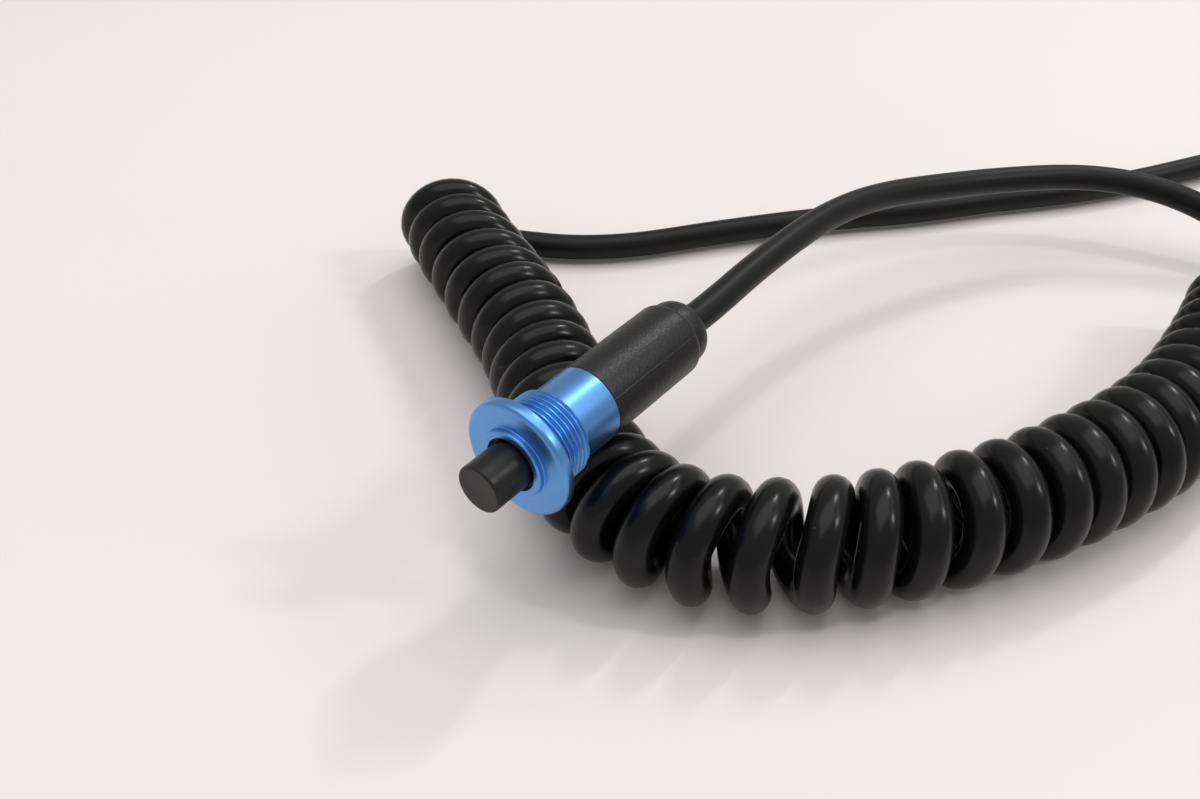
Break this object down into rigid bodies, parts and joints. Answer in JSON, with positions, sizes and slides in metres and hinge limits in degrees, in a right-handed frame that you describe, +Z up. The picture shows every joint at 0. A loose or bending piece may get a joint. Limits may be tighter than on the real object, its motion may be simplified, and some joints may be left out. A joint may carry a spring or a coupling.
{
  "type": "cable shutter release",
  "caption": "Electric cable release: a sprung push button in a flanged, threaded housing with a moulded grip, on a curly cord that ends in a jack plug.",
  "frame": {"origin": "where the switch's axis meets the rear face of the finger flange, at the start of the threaded neck", "axes": "+X along the switch from the button to the cord, +Z up from the surface that the cord lies on"},
  "size_m": [0.1918, 0.1599, 0.0311],
  "materials": {
    "anodised_aluminium": "blue satin anodising on turned aluminium",
    "turned_brass": "turned brass",
    "seal_rubber": "matte black rubber",
    "button_plastic": "satin black moulding",
    "stem_plastic": "natural acetal",
    "spring_steel": "bright spring steel",
    "contact_brass": "brass contact metal",
    "carrier_resin": "brown phenolic moulding",
    "red_insulation": "red wire insulation",
    "grey_insulation": "grey wire insulation",
    "grip_rubber": "fine-textured matte black moulding",
    "cord_jacket": "satin black cord jacket",
    "coil_jacket": "smooth glossy black jacket",
    "plug_plastic": "satin black moulding",
    "plated_contact": "gold-plated brass"
  },
  "bodies": {
    "switch_body": {"housing": "anodised_aluminium", "guide_bush": "turned_brass", "wiper_seal": "seal_rubber", "return_spring": "spring_steel", "contact_carrier": "carrier_resin", "fixed_contact_left": "contact_brass", "fixed_contact_right": "contact_brass", "carrier_ring": "spring_steel", "wire_left": "red_insulation", "wire_right": "grey_insulation", "grip": "grip_rubber", "nose": "grip_rubber", "crimp_ferrule": "spring_steel", "cord_entry": "cord_jacket", "switch_lead": "cord_jacket", "coil_far": "coil_jacket", "coil_under_switch": "coil_jacket", "coil_bend": "coil_jacket", "coil_near": "coil_jacket", "tail_lead": "cord_jacket", "plug_boot": "plug_plastic", "plug_handle": "plug_plastic", "jack_sleeve": "plated_contact", "jack_band_rear": "plug_plastic", "jack_ring": "plated_contact", "jack_band_front": "plug_plastic", "jack_tip": "plated_contact"},
    "push_button": {"button": "button_plastic", "button_stem": "stem_plastic", "retaining_clip": "spring_steel", "contact_disc": "contact_brass"}
  },
  "joints": [
    {"name": "button_press", "type": "slide", "parent": "switch_body", "child": "push_button", "axis": [1, 0, 0], "range_m": [0, 0.002], "stiffness_N_per_m": 900, "springref_m": -0.002, "deforming": ["return_spring"]}
  ]
}
